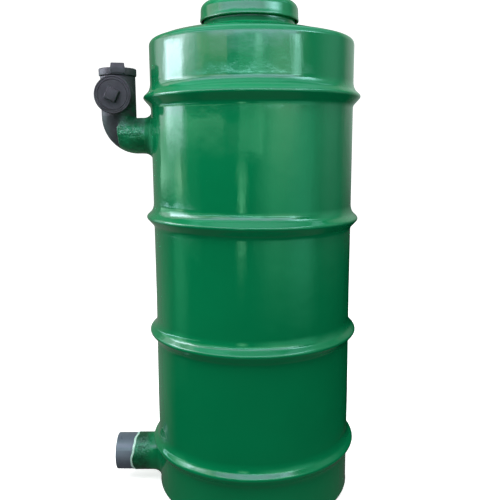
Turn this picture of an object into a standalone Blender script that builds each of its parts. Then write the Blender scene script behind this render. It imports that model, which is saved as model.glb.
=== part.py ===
"""Small upright biogas digester: a ribbed glass-fibre tank with a lift-off lid,
a bent inlet riser with two screwed cleaning plugs, and a pipe spigot near the
foot.  Metres, +Z up, the origin on the ground at the tank's axis.  The pipes
leave the tank towards -X and the side plug faces -Y."""

import math

import bmesh
import bpy
from mathutils import Matrix

MM = 0.001
GAP = 0.0003            # the clearance that touching pieces keep

# ---------------------------------------------------------------- tank shell
WALL_R = 0.285          # outer radius of the plain wall
WALL_T = 0.006          # laminate thickness
BASE_T = 0.008          # thickness of the base laminate
BASE_EDGE = 0.014       # radius of the edge between base and wall
RIB_Z = (0.1515, 0.492, 0.822, 1.1555)   # crest heights of the four ribs
RIB_OUT = 0.0195        # how far a crest stands proud of the wall
RIB_HALF = 0.045        # half the height of a rib's own ring
RIM_Z = 1.3095          # top edge of the tank
RIM_EDGE = 0.017        # radius of that edge
BASE_TOP = 0.020        # where the base's upstand ends
COVER_Z = 1.290         # where the top cover's skirt begins
CROWN_Z = 1.333         # flat crown of the cover, round the neck
CROWN_R = 0.150         # radius at which the dome meets that crown
SEAM = 0.00015          # half the gap of a seam between two half shells
TURN = 40               # facets in a full turn of the shell

# ------------------------------------------------------------- neck and lid
LID_R = 0.137
LID_TOP_R = 0.1355      # the skirt leans in a little towards the top
LID_T = 0.0045
LID_Z0 = 1.361          # lower edge of the lid's skirt
LID_Z1 = 1.4120
LID_EDGE = 0.022
NECK_X = -0.006         # the neck sits a little off the tank's axis
NECK_R = 0.1275
NECK_T = 0.005
# the neck's mouth bears on the inside of the lid's rounded edge
NECK_TOP = (LID_Z1 - LID_EDGE - GAP - 0.0006
            + math.sqrt((LID_EDGE - LID_T) ** 2
                        - (NECK_R - LID_TOP_R + LID_EDGE) ** 2))

# ---------------------------------------------------- inlet bend and riser
BEND_R = 0.053          # centre-line radius of the bend
ELBOW_R = 0.0505        # outer radius of the elbow
FIT_R = 0.049           # outer radius of the riser and its port
FIT_BORE = 0.043
RISER_X = -0.379
INLET_Z = 1.053         # axis of the level run into the tank
COAT_R = 0.051          # the coated run is a little thicker
RISER_Z0 = INLET_Z + BEND_R
RISER_Z1 = 1.218
PORT_Z = 1.1625         # axis of the side port
PORT_Y = -0.0600        # its end face
PLUG_FLANGE = 0.0205
PLUG_SPIGOT = 0.0055
PLUG_SPIGOT_R = 0.042
PLUG_HOLLOW_R = 0.037
TOP_PLUG_R = 0.0525
SIDE_PLUG_R = 0.0512
LUG = 0.034             # square grip on the side plug
LUG_OUT = 0.0155
BAR = 0.041             # width of the top plug's cross bar
BAR_REACH = 0.0545      # half its length: it laps over the rim
BAR_STEP = 0.0345       # where the raised ends begin
BAR_OUT = 0.004         # how far its middle stands up
BAR_END_OUT = 0.0115    # how far its ends stand up
BAR_TURN = 12.0         # the plug is screwed home a little past straight

# ------------------------------------------------------------ outlet spigot
OUTLET_Z = 0.083
OUTLET_R = 0.055
OUTLET_BORE = 0.0516
OUTLET_END = -0.4205
COAT_END = -0.366
INSIDE_END = -0.262     # both pipes end just inside the wall

for old in list(bpy.data.objects):
    bpy.data.objects.remove(old, do_unlink=True)

parts = bpy.data.collections.new("biogas_digester")
cutters = bpy.data.collections.new("cutters")
bpy.context.scene.collection.children.link(parts)
bpy.context.scene.collection.children.link(cutters)


def material(name, colour, roughness, metallic=0.0):
    made = bpy.data.materials.new(name)
    made.use_nodes = True
    shader = made.node_tree.nodes["Principled BSDF"]
    shader.inputs["Base Color"].default_value = (*colour, 1.0)
    shader.inputs["Roughness"].default_value = roughness
    shader.inputs["Metallic"].default_value = metallic
    return made


GREEN = material("green_gelcoat", (0.004, 0.155, 0.055), 0.12)
BLACK = material("black_plastic", (0.030, 0.031, 0.034), 0.42)
GREY = material("grey_pipe", (0.115, 0.122, 0.145), 0.35)
PALE = material("pale_resin", (0.52, 0.78, 0.67), 0.30)


def put(obj, mat, collection=parts):
    """Links the object and gives it its material; a cutter gets none."""
    collection.objects.link(obj)
    if mat is not None:
        obj.data.materials.append(mat)
    return obj


def hide(obj):
    obj.hide_render = True
    obj.display_type = "WIRE"
    return obj


def polyline(name, points, closed=False):
    """A profile in the object's XZ plane, as a chain of edges."""
    mesh = bpy.data.meshes.new(name)
    edges = [(i, i + 1) for i in range(len(points) - 1)]
    if closed:
        edges.append((len(points) - 1, 0))
    mesh.from_pydata([(r, 0.0, z) for r, z in points], edges, [])
    return bpy.data.objects.new(name, mesh)


def screw(obj, angle, steps, merge=True):
    turn = obj.modifiers.new("turn", "SCREW")
    turn.angle = angle
    turn.steps = steps
    turn.render_steps = steps
    turn.axis = "Z"
    turn.use_merge_vertices = merge
    turn.merge_threshold = 0.00005
    turn.use_smooth_shade = True
    return turn


def solidify(obj, thickness):
    skin = obj.modifiers.new("thickness", "SOLIDIFY")
    skin.thickness = thickness
    skin.offset = -1.0
    skin.use_even_offset = True
    return skin


def boolean(obj, other, operation="DIFFERENCE"):
    cut = obj.modifiers.new(operation.lower() + "_" + other.name, "BOOLEAN")
    cut.operation = operation
    cut.object = other
    cut.solver = "EXACT"
    return cut


def arc(cx, cz, radius, start, end, steps):
    """Points on an arc in the profile plane, angles in degrees."""
    found = []
    for i in range(steps + 1):
        a = math.radians(start + (end - start) * i / steps)
        found.append((cx + radius * math.cos(a), cz + radius * math.sin(a)))
    return found


def turned(name, profile, mat, steps=TURN, thickness=None, collection=parts):
    """A full turn of a profile that runs down its outer side."""
    obj = put(polyline(name, profile, closed=thickness is None), mat, collection)
    screw(obj, math.tau, steps)
    if thickness:
        solidify(obj, thickness)
    return obj


def cylinder(name, radius, length, segments, collection=cutters, mat=None):
    """A plain cylinder along its own Z, centred on its origin."""
    mesh = bpy.data.meshes.new(name)
    shape = bmesh.new()
    bmesh.ops.create_cone(shape, cap_ends=True, segments=segments,
                          radius1=radius, radius2=radius, depth=length)
    shape.to_mesh(mesh)
    shape.free()
    obj = put(bpy.data.objects.new(name, mesh), mat, collection)
    return hide(obj) if collection is cutters else obj


def along_x(obj, x, z):
    obj.rotation_euler = (0.0, math.radians(90), 0.0)
    obj.location = (x, 0.0, z)
    return obj


# ------------------------------------------------------------------ profiles
def rib_points(z, grow=0.0):
    """Outer side of one rib, from its top edge down to its bottom edge.  The
    crest is tightly rounded between straight flanks, and each flank runs out
    into the wall in a hollow curve, the lower one sooner."""
    shape = ((RIB_HALF, 0.0), (0.0367, 0.0), (0.0213, 0.0053), (0.0055, 0.0176),
             (0.0, RIB_OUT), (-0.0060, 0.0172), (-0.0200, 0.0046),
             (-0.0320, 0.0), (-RIB_HALF, 0.0))
    return [(WALL_R + grow + out, z + dz) for dz, out in shape]


# ----------------------------------------------------------- cutting bodies
outlet_cut = along_x(cylinder("outlet_cut", OUTLET_R + GAP, 0.120, 32),
                     -0.285, OUTLET_Z)
inlet_cut = along_x(cylinder("inlet_cut", COAT_R + GAP, 0.120, 32),
                    -0.285, INLET_Z)

outside = []
for z in reversed(RIB_Z):
    outside += rib_points(z, GAP)
outside = ([(0.0, RIM_Z), (WALL_R + GAP, RIM_Z)] + outside
           + [(WALL_R + GAP, 0.001), (0.0, 0.001)])
envelope = put(polyline("tank_envelope", outside), None, cutters)
screw(envelope, math.tau, 80)
hide(envelope)

# --------------------------------------------------------------- half shells
def half_space(name, side):
    """A block over everything on one side of the seam plane x = 0."""
    mesh = bpy.data.meshes.new(name)
    shape = bmesh.new()
    bmesh.ops.create_cube(shape, size=1.0)
    for v in shape.verts:
        v.co.x = side * (0.5 if v.co.x * side > 0 else -SEAM)
        v.co.z = v.co.z * 2.0 + 0.7
    shape.to_mesh(mesh)
    shape.free()
    return hide(put(bpy.data.objects.new(name, mesh), None, cutters))


HALVES = (("right", half_space("cut_off_left", -1)),
          ("left", half_space("cut_off_right", 1)))


def half_shell(name, profile, cutter, mat=GREEN):
    """Half a ring of the wall.  The seams lie at the front and the back."""
    obj = turned(name, profile, mat, thickness=WALL_T)
    boolean(obj, cutter)
    return obj


def rib_profile(z):
    """A rib's ring, set back from its neighbours by half a gap."""
    profile = rib_points(z)
    profile[0] = (WALL_R, z + RIB_HALF - GAP / 2)
    profile[-1] = (WALL_R, z - RIB_HALF + GAP / 2)
    return profile


# the foot course takes in the lowest rib, so that the outlet's hole is whole
foot = rib_profile(RIB_Z[0])[:-1] + [(WALL_R, BASE_TOP + GAP / 2)]
rings = {"foot_course": foot}
tops = [z + RIB_HALF for z in RIB_Z]
floors = [z - RIB_HALF for z in RIB_Z[1:]] + [COVER_Z]
for n in range(4):
    rings[f"wall_course_{n + 1}"] = [(WALL_R, floors[n] - GAP / 2),
                                     (WALL_R, tops[n] + GAP / 2)]
for n in range(1, 4):
    rings[f"rib_{n + 1}"] = rib_profile(RIB_Z[n])

shells = {}
for ring_name, profile in rings.items():
    for side, cutter in HALVES:
        name = f"{ring_name}_{side}"
        shells[name] = half_shell(name, profile, cutter)

boolean(shells["foot_course_left"], outlet_cut)
boolean(shells["wall_course_3_left"], inlet_cut)

# ------------------------------------------------------------ base and cover
base_profile = ([(WALL_R, BASE_TOP - GAP / 2)]
                + arc(WALL_R - BASE_EDGE, BASE_EDGE, BASE_EDGE, 0, -90, 4)
                + [(0.150, 0.0), (0.0, 0.0)])
base = turned("base", base_profile, GREEN, thickness=BASE_T)

rim = arc(WALL_R - RIM_EDGE, RIM_Z - RIM_EDGE, RIM_EDGE, 72, 0, 4)
crown = [(NECK_R - NECK_T, CROWN_Z)]
for t in (1.0, 0.75, 0.5, 0.22):
    crown.append((rim[0][0] + (CROWN_R - rim[0][0]) * t,
                  rim[0][1] + (CROWN_Z - rim[0][1]) * (1.5 * t - 0.5 * t ** 3)))
cover_profile = crown + rim + [(WALL_R, COVER_Z + GAP / 2)]
cover = turned("top_cover", cover_profile, GREEN, thickness=WALL_T)
neck_hole = cylinder("neck_hole", NECK_R - NECK_T, 0.120, TURN)
neck_hole.location = (NECK_X, 0.0, CROWN_Z)
cover.data.vertices[0].co.x = 0.080
boolean(cover, neck_hole)

# -------------------------------------------------------------- neck and lid
foot = CROWN_Z + GAP
neck_profile = [(NECK_R - NECK_T + 0.001, NECK_TOP), (NECK_R - 0.001, NECK_TOP),
                (NECK_R, NECK_TOP - 0.001), (NECK_R, 1.3470),
                (NECK_R + 0.0035, 1.3390), (NECK_R + 0.012, foot),
                (NECK_R - NECK_T, foot), (NECK_R - NECK_T, NECK_TOP - 0.001)]
neck = turned("manhole_neck", neck_profile, GREEN)
neck.location = (NECK_X, 0.0, 0.0)

lid_profile = ([(0.0, LID_Z1), (0.070, LID_Z1)]
               + arc(LID_TOP_R - LID_EDGE, LID_Z1 - LID_EDGE, LID_EDGE, 90, 0, 6)
               + [(LID_R, LID_Z0)])
lid = turned("lid", lid_profile, GREEN, thickness=LID_T)
lid.location = (NECK_X, 0.0, 0.0)


# --------------------------------------------------------------------- pipes
def tube(name, outer, inner, start, end, mat, z, segments=32):
    """A straight tube along X, from x = start to x = end."""
    profile = [(outer, end), (outer, start), (inner, start), (inner, end)]
    obj = turned(name, profile, mat, steps=segments)
    obj.rotation_euler = (0.0, math.radians(90), 0.0)
    obj.location = (0.0, 0.0, z)
    return obj


outlet_pipe = tube("outlet_pipe", OUTLET_R, OUTLET_BORE, OUTLET_END,
                   INSIDE_END, GREY, OUTLET_Z)
inlet_pipe = tube("inlet_pipe", COAT_R, FIT_BORE, RISER_X + BEND_R + GAP,
                  INSIDE_END, GREEN, INLET_Z)


def collar(name, bore, spread, reach, far, z):
    """The resin fillet where a pipe leaves the wall: a turned ring with a
    hollow flank, trimmed to the tank's outside."""
    inner = bore + GAP
    tip = -WALL_R - reach
    points = [(inner, tip)]
    ring = []
    for i in range(5):
        a = math.radians(90 * i / 4)
        ring.append((inner + 0.002 + (spread - 0.002) * (1 - math.cos(a)),
                     tip + reach * math.sin(a)))
    points += ring + [(inner + spread, far), (inner, far)]
    obj = turned(name, list(reversed(points)), GREEN, steps=32)
    obj.rotation_euler = (0.0, math.radians(90), 0.0)
    obj.location = (0.0, 0.0, z)
    boolean(obj, envelope)
    return obj


inlet_collar = collar("inlet_collar", COAT_R, 0.017, 0.017, -0.255, INLET_Z)
outlet_collar = collar("outlet_collar", OUTLET_R, 0.015, 0.016, -0.255,
                       OUTLET_Z)

outlet_sleeve = tube("outlet_sleeve", OUTLET_R + 0.0016, OUTLET_R + GAP,
                     COAT_END, -WALL_R - 0.0165, GREEN, OUTLET_Z)
outlet_bead = tube("outlet_bead", OUTLET_R + 0.0026, OUTLET_R + GAP,
                   COAT_END - 0.0075, COAT_END - GAP, PALE, OUTLET_Z)

# --------------------------------------------------------------------- bend
def bend(name, outer, inner, radius, segments, steps, mat):
    """A quarter bend: its origin is the bend's centre, one end faces +X at
    (0, 0, -radius) and the other faces +Z at (-radius, 0, 0)."""
    mesh = bpy.data.meshes.new(name)
    shape = bmesh.new()
    level = Matrix.Translation((0.0, 0.0, -radius)) @ Matrix.Rotation(
        math.radians(90), 4, "Y")
    for r in (outer, inner):
        bmesh.ops.create_circle(shape, cap_ends=False, radius=r,
                                segments=segments, matrix=level)
    face = bmesh.ops.bridge_loops(shape, edges=shape.edges[:])["faces"]
    bmesh.ops.spin(shape, geom=face, cent=(0.0, 0.0, 0.0),
                   axis=(0.0, 1.0, 0.0), angle=math.radians(90), steps=steps)
    bmesh.ops.recalc_face_normals(shape, faces=shape.faces[:])
    shape.to_mesh(mesh)
    shape.free()
    return put(bpy.data.objects.new(name, mesh), mat)


elbow = bend("inlet_elbow", ELBOW_R, FIT_BORE, BEND_R, 32, 8, BLACK)
elbow.location = (RISER_X + BEND_R, 0.0, INLET_Z + BEND_R)

# --------------------------------------------------------------- riser tee
riser_low, riser_high = RISER_Z0 + GAP, RISER_Z1 - GAP
tee = cylinder("riser_tee", FIT_R, riser_high - riser_low, 32, parts, BLACK)
tee.location = (RISER_X, 0.0, (riser_low + riser_high) / 2)
branch = cylinder("branch_body", FIT_R, -PORT_Y, 32)
branch.rotation_euler = (math.radians(90), 0.0, 0.0)
branch.location = (RISER_X, PORT_Y / 2, PORT_Z)
riser_bore = cylinder("riser_bore", FIT_BORE, 0.200, 32)
riser_bore.location = (RISER_X, 0.0, (riser_low + riser_high) / 2)
branch_bore = cylinder("branch_bore", FIT_BORE, 0.080, 32)
branch_bore.rotation_euler = (math.radians(90), 0.0, 0.0)
branch_bore.location = (RISER_X, -0.040, PORT_Z)
boolean(tee, branch, "UNION")
boolean(tee, riser_bore)
boolean(tee, branch_bore)


# ------------------------------------------------------------------- plugs
def plug(name, flange_r):
    """A cleaning plug standing on its own origin: flange up, hollow spigot
    down."""
    top = PLUG_FLANGE
    profile = [(0.0, top), (flange_r - 0.003, top), (flange_r, top - 0.003),
               (flange_r, 0.0), (PLUG_SPIGOT_R, 0.0),
               (PLUG_SPIGOT_R, -PLUG_SPIGOT), (PLUG_HOLLOW_R, -PLUG_SPIGOT),
               (PLUG_HOLLOW_R, top - 0.006), (0.0, top - 0.006)]
    obj = put(polyline(name, profile), BLACK)
    screw(obj, math.tau, 32)
    return obj


def grip(name, plug_obj, wide, taper, front, back, low, high, turn=0.0):
    """A block joined to a plug: wide along X, from front to back along Y, and
    narrower by the taper at its top."""
    mesh = bpy.data.meshes.new(name)
    shape = bmesh.new()
    bmesh.ops.create_cube(shape, size=1.0)
    for v in shape.verts:
        lean = taper / 2 if v.co.z > 0 else 0.0
        v.co.x = math.copysign(wide / 2 - lean, v.co.x)
        v.co.y = front + lean if v.co.y < 0 else back - lean
        v.co.z = low if v.co.z < 0 else high
    shape.to_mesh(mesh)
    shape.free()
    block = hide(put(bpy.data.objects.new(name, mesh), None, cutters))
    block.rotation_euler = (0.0, 0.0, math.radians(turn))
    block.parent = plug_obj
    boolean(plug_obj, block, "UNION")


top_plug = plug("top_plug", TOP_PLUG_R)
top_plug.location = (RISER_X, 0.0, RISER_Z1)
grip("cross_bar", top_plug, BAR - 0.001, 0.002, -BAR_REACH + 0.004,
     BAR_REACH - 0.004, PLUG_FLANGE - 0.003, PLUG_FLANGE + BAR_OUT, BAR_TURN)
grip("front_end", top_plug, BAR, 0.005, -BAR_REACH, -BAR_STEP, 0.004,
     PLUG_FLANGE + BAR_END_OUT, BAR_TURN)
grip("back_end", top_plug, BAR, 0.005, BAR_STEP, BAR_REACH, 0.004,
     PLUG_FLANGE + BAR_END_OUT, BAR_TURN)
side_plug = plug("side_plug", SIDE_PLUG_R)
grip("square_lug", side_plug, LUG, 0.002, -LUG / 2, LUG / 2,
     PLUG_FLANGE - 0.003, PLUG_FLANGE + LUG_OUT, turn=64.0)
side_plug.rotation_euler = (math.radians(90), 0.0, 0.0)
side_plug.location = (RISER_X, PORT_Y - GAP, PORT_Z)

# ------------------------------------------------------------ smooth shading
bpy.context.view_layer.update()
for obj in parts.objects:
    obj.data.shade_smooth()
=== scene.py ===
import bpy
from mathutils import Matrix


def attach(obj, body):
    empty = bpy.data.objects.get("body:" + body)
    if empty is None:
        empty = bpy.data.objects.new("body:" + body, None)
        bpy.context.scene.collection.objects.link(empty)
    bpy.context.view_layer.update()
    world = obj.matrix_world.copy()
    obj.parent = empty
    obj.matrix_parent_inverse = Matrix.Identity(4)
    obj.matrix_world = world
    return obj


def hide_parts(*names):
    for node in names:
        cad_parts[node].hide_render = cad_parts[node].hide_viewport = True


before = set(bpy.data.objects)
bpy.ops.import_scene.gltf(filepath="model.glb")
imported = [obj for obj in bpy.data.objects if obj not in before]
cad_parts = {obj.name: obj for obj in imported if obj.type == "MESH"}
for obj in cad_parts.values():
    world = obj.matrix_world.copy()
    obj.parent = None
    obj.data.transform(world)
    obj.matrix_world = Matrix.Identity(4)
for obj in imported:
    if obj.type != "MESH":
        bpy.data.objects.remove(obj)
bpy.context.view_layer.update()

import math

import bmesh
import bpy
import numpy as np
from mathutils import Matrix, Vector

# ------------------------------------------------------------------ sizes (m)
WALL_R = 0.285
WALL_T = 0.006
RIB_Z = (0.1515, 0.492, 0.822, 1.1555)
RIB_OUT = 0.0195
RIB_TILT = (0.0, -0.0002, -0.0033, 0.0008)   # rise from the axis to the right edge
BASE_EDGE = 0.014
RIM_Z = 1.3095
RIM_EDGE = 0.017
CROWN_Z = 1.333
CROWN_R = 0.150
NECK_X = -0.006
NECK_R = 0.1275
NECK_T = 0.005
LID_R = 0.137
LID_TOP_R = 0.1355
LID_T = 0.0045
LID_Z0 = 1.361
LID_Z1 = 1.4120
LID_EDGE = 0.022
NECK_TOP = (LID_Z1 - LID_EDGE - 0.0009
            + math.sqrt((LID_EDGE - LID_T) ** 2 - (NECK_R - LID_TOP_R + LID_EDGE) ** 2))
BEND_R = 0.053
ELBOW_R = 0.0505
FIT_R = 0.049
FIT_BORE = 0.043
COAT_R = 0.051
RISER_X = -0.379
INLET_Z = 1.053
RISER_Z0 = INLET_Z + BEND_R
RISER_Z1 = 1.218
PORT_Z = 1.1625
PORT_Y = -0.0600
PLUG_FLANGE = 0.0205
LUG = 0.034
LUG_TURN = 64.0
LUG_OUT = 0.0155
BAR = 0.041
BAR_REACH = 0.0545
BAR_STEP = 0.0345
BAR_OUT = 0.004
BAR_END_OUT = 0.0115
BAR_TURN = 12.0
TOP_PLUG_R = 0.0525
SIDE_PLUG_R = 0.0512
OUTLET_Z = 0.083
OUTLET_R = 0.055
OUTLET_BORE = 0.0516
OUTLET_END = -0.4205
INSIDE_END = -0.262


# ---------------------------------------------------------------- mesh helpers
def add_mesh(name, verts, faces, smooth=True):
    mesh = bpy.data.meshes.new(name)
    mesh.from_pydata([tuple(map(float, v)) for v in verts], [], faces)
    mesh.validate()
    obj = bpy.data.objects.new(name, mesh)
    bpy.context.scene.collection.objects.link(obj)
    if smooth:
        mesh.shade_smooth()
    return obj


def grid_faces(rows, cols, close_rows=False, close_cols=True, flip=False, base=0):
    faces = []
    for i in range(rows if close_rows else rows - 1):
        for j in range(cols if close_cols else cols - 1):
            a = base + i * cols + j
            b = base + i * cols + (j + 1) % cols
            c = base + ((i + 1) % rows) * cols + (j + 1) % cols
            d = base + ((i + 1) % rows) * cols + j
            faces.append((a, d, c, b) if flip else (a, b, c, d))
    return faces


def outward(obj):
    """Turns every closed island's faces outwards."""
    shape = bmesh.new()
    shape.from_mesh(obj.data)
    bmesh.ops.recalc_face_normals(shape, faces=shape.faces[:])
    shape.to_mesh(obj.data)
    shape.free()


def loft(name, grid, close_rows=True):
    """A closed tube of rings.  grid is rows by columns by xyz."""
    rows, cols = grid.shape[:2]
    obj = add_mesh(name, grid.reshape(-1, 3),
                   grid_faces(rows, cols, close_rows=close_rows))
    outward(obj)
    return obj


def lathe(profile, cols, axis_of=None, wobble=None):
    """Turns (r, z) points about Z.  The first and last point may be poles."""
    angle = np.arange(cols) * (2 * math.pi / cols)
    verts, faces, last = [], [], None
    for k, (r, z) in enumerate(profile):
        if r < 1e-7:
            ring = [len(verts)]
            verts.append((0.0, 0.0, z))
        else:
            ring = list(range(len(verts), len(verts) + cols))
            rr = np.full(cols, r)
            verts += list(zip(rr * np.cos(angle), rr * np.sin(angle),
                              np.full(cols, z)))
        if last is not None:
            if len(last) == 1 and len(ring) > 1:
                faces += [(last[0], ring[j], ring[(j + 1) % cols])
                          for j in range(cols)]
            elif len(ring) == 1 and len(last) > 1:
                faces += [(last[j], ring[0], last[(j + 1) % cols])
                          for j in range(cols)]
            else:
                faces += [(last[j], ring[j], ring[(j + 1) % cols],
                           last[(j + 1) % cols]) for j in range(cols)]
        last = ring
    return np.array(verts, float), faces


def arc(cx, cz, radius, start, end, steps):
    found = []
    for i in range(steps + 1):
        a = math.radians(start + (end - start) * i / steps)
        found.append((cx + radius * math.cos(a), cz + radius * math.sin(a)))
    return found


def evaluated(obj):
    """The object's mesh with its modifiers applied."""
    bpy.context.view_layer.update()
    got = obj.evaluated_get(bpy.context.evaluated_depsgraph_get())
    mesh = bpy.data.meshes.new_from_object(got)
    obj.modifiers.clear()
    obj.data = mesh
    return obj


def join(name, objs):
    """Several meshes as one object, each still its own island."""
    shape = bmesh.new()
    for o in objs:
        o.data.transform(o.matrix_world)
        shape.from_mesh(o.data)
    mesh = bpy.data.meshes.new(name)
    shape.to_mesh(mesh)
    shape.free()
    for o in objs:
        bpy.data.objects.remove(o)
    made = bpy.data.objects.new(name, mesh)
    bpy.context.scene.collection.objects.link(made)
    mesh.shade_smooth()
    return made


def smooth_by_angle(obj, degrees):
    """Marks edges sharper than the angle, so that flat faces stay flat."""
    mesh = obj.data
    mesh.shade_smooth()
    shape = bmesh.new()
    shape.from_mesh(mesh)
    limit = math.radians(degrees)
    for e in shape.edges:
        if len(e.link_faces) == 2:
            e.smooth = e.calc_face_angle(0.0) < limit
    shape.to_mesh(mesh)
    shape.free()


def eased(x):
    x = np.clip(x, 0.0, 1.0)
    return x * x * (3 - 2 * x)


def ripple(x, seed, n=6, low=1.0, high=6.0):
    """A smooth wandering line: a few sines with fixed phases, about +-1."""
    rng = np.random.default_rng(seed)
    out = np.zeros_like(np.asarray(x, float))
    for _ in range(n):
        out += rng.uniform(0.4, 1.0) * np.sin(
            round(rng.uniform(low, high)) * x + rng.uniform(0, 2 * math.pi))
    return out / (0.6 * n)


# ------------------------------------------------------------------- the wall
def flank(dz, crest, steep, tight, middle, slack):
    """One side of a rib: a tight crest, a straight slope, then a hollow that is
    tight at first and slack where it runs out into the wall."""
    cs, ss = math.cos(math.radians(steep)), math.sin(math.radians(steep))
    cm, sm = math.cos(math.radians(middle)), math.sin(math.radians(middle))
    h3 = slack * (1 - cm)
    h2 = h3 + tight * (cm - cs)
    h1 = RIB_OUT - crest * (1 - cs)
    q1 = crest * ss
    q2 = q1 + (h1 - h2) * cs / ss
    q3 = q2 + tight * (ss - sm)
    q4 = q3 + slack * sm
    top = RIB_OUT - crest + np.sqrt(np.maximum(crest ** 2 - dz ** 2, 0.0))
    slope = h1 - (dz - q1) * ss / cs
    inner = h2 + tight * cs - np.sqrt(np.maximum(tight ** 2 - (tight * ss - (dz - q2)) ** 2, 0.0))
    outer = slack - np.sqrt(np.maximum(slack ** 2 - np.minimum(dz - q4, 0.0) ** 2, 0.0))
    return np.where(dz < q1, top, np.where(dz < q2, slope, np.where(dz < q3, inner, np.where(
        dz < q4, outer, 0.0))))


def rib_height(dz):
    dz = np.asarray(dz, float)
    return np.where(dz > 0, flank(np.abs(dz), 0.0075, 46.0, 0.014, 30.0, 0.046),
                    flank(np.abs(dz), 0.0075, 41.0, 0.012, 25.0, 0.022))


def wall_radius(z):
    """The wall grows a little wider towards its foot."""
    z = np.asarray(z, float)
    wider = 0.0024 * np.clip((0.60 - z) / 0.30, 0.0, 1.0)
    r = WALL_R + wider
    for k, rib in enumerate(RIB_Z):
        r = r + rib_height(z - rib) * (0.875 if k == 0 else 0.955 if k == 1 else 1.0)
    return r


def wall_x(y, z):
    return -np.sqrt(np.maximum(wall_radius(z) ** 2 - y * y, 1e-6))


def wall_heights(z0, z1):
    """Heights along the wall, close together over the ribs."""
    found, z = [z0], z0
    while True:
        near = min(abs(z - rib) for rib in RIB_Z)
        z += 0.0011 if near < 0.009 else 0.0022 if near < 0.046 else 0.010
        if z >= z1 - 0.002:
            break
        found.append(z)
    return found + [z1]


# ------------------------------------------------ tank: one laminated skin
outer = [(0.0, 0.0), (0.10, 0.0), (0.20, 0.0), (0.25, 0.0), (0.262, 0.0)]
outer += arc(WALL_R + 0.0024 - BASE_EDGE, BASE_EDGE, BASE_EDGE, -90, 0, 9)
zs = np.array(wall_heights(BASE_EDGE, RIM_Z - RIM_EDGE))
outer += list(zip(wall_radius(zs), zs))[1:]
rim_arc = arc(WALL_R - RIM_EDGE, RIM_Z - RIM_EDGE, RIM_EDGE, 0, 72, 12)
outer += rim_arc[1:]
r0, z0 = outer[-1]


def dome(t, under=0.0):
    """The cover's top between the rim (t = 0) and the crown (t = 1)."""
    return (r0 + (CROWN_R - r0) * t,
            z0 + (CROWN_Z - z0) * (1.5 * t - 0.5 * t ** 3) - under)


outer += [dome(i / 16) for i in range(1, 17)]
# a long fillet up into the neck
for i in range(1, 11):
    t = i / 10 * math.pi / 2
    outer.append((NECK_R + (CROWN_R - NECK_R) * (1 - math.sin(t)),
                  CROWN_Z + 0.0270 * (1 - math.cos(t))))
outer += [(NECK_R, 1.370), (NECK_R, 1.385), (NECK_R, NECK_TOP - 0.0020)]
outer += arc(NECK_R - 0.0018, NECK_TOP - 0.0018, 0.0018, 0, 90, 4)[1:]
outer += arc(NECK_R - NECK_T + 0.0018, NECK_TOP - 0.0018, 0.0018, 90, 180, 4)
inner = [(NECK_R - NECK_T, 1.380), (NECK_R - NECK_T, 1.350),
         (NECK_R - NECK_T, 1.340), (NECK_R - NECK_T + 0.003, 1.3305),
         (NECK_R - NECK_T + 0.012, 1.3272)]
inner += [dome(t, WALL_T) for t in (1.0, 0.75, 0.5, 0.25)]
inner += arc(WALL_R - RIM_EDGE, RIM_Z - RIM_EDGE, RIM_EDGE - WALL_T, 72, 0, 4)
zi = [z for z in wall_heights(BASE_EDGE, RIM_Z - RIM_EDGE)][::-1][1:-1][::2]
inner += [(float(wall_radius(z)) - WALL_T, z) for z in zi]
inner += arc(WALL_R + 0.0024 - BASE_EDGE, BASE_EDGE, BASE_EDGE - WALL_T, 0, -90, 4)
inner += [(0.20, 0.008), (0.10, 0.008), (0.0, 0.008)]

tank_v, tank_f = lathe(outer + inner, 288)
radius = np.hypot(tank_v[:, 0], tank_v[:, 1])
shift = NECK_X * eased((0.255 - radius) / (0.255 - 0.145)) * (tank_v[:, 2] > 1.2)
# hand-laid laminate: long shallow hollows, never proud of the mould
theta = np.arctan2(tank_v[:, 1], tank_v[:, 0])
zz = tank_v[:, 2]
calm = eased((0.015 - np.maximum(wall_radius(zz) - WALL_R, 0)) / 0.012)
hollow = (0.5 + 0.25 * np.sin(2 * theta + 3.1 * zz + 0.7)
          + 0.25 * np.sin(3 * theta - 5.3 * zz + 2.1)) * 0.0010
hollow *= calm * (zz > 0.02) * (zz < 1.300)
scale = np.where(radius > 0.2, 1.0 - hollow / np.maximum(radius, 0.1), 1.0)
# the cover was laid a little askew
tank_v[:, 2] -= (0.010 * tank_v[:, 0] * eased((0.272 - radius) / 0.030)
                 * eased((radius - 0.1280) / 0.025) * (tank_v[:, 2] > 1.2))
for rib, tilt in zip(RIB_Z, RIB_TILT):
    near = eased((0.078 - np.abs(zz - rib)) / 0.030)
    tank_v[:, 2] += tilt * tank_v[:, 0] / WALL_R * near
tank_v[:, 0] = tank_v[:, 0] * scale + shift
tank_v[:, 1] *= scale
tank = add_mesh("tank_skin", tank_v, tank_f)
outward(tank)

for name, r, z in (("in", 0.0470, INLET_Z), ("out", 0.0533, OUTLET_Z)):
    mesh = bpy.data.meshes.new("hole_" + name)
    shape = bmesh.new()
    bmesh.ops.create_cone(shape, cap_ends=True, segments=64, radius1=r,
                          radius2=r, depth=0.12,
                          matrix=Matrix.Translation((-0.29, 0.0, z))
                          @ Matrix.Rotation(math.radians(90), 4, "Y"))
    shape.to_mesh(mesh)
    shape.free()
    hole = bpy.data.objects.new("hole_" + name, mesh)
    bpy.context.scene.collection.objects.link(hole)
    cut = tank.modifiers.new("hole", "BOOLEAN")
    cut.object = hole
    cut.operation = "DIFFERENCE"
    cut.solver = "EXACT"
    evaluated(tank)
    bpy.data.objects.remove(hole)
tank.data.shade_smooth()

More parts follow.
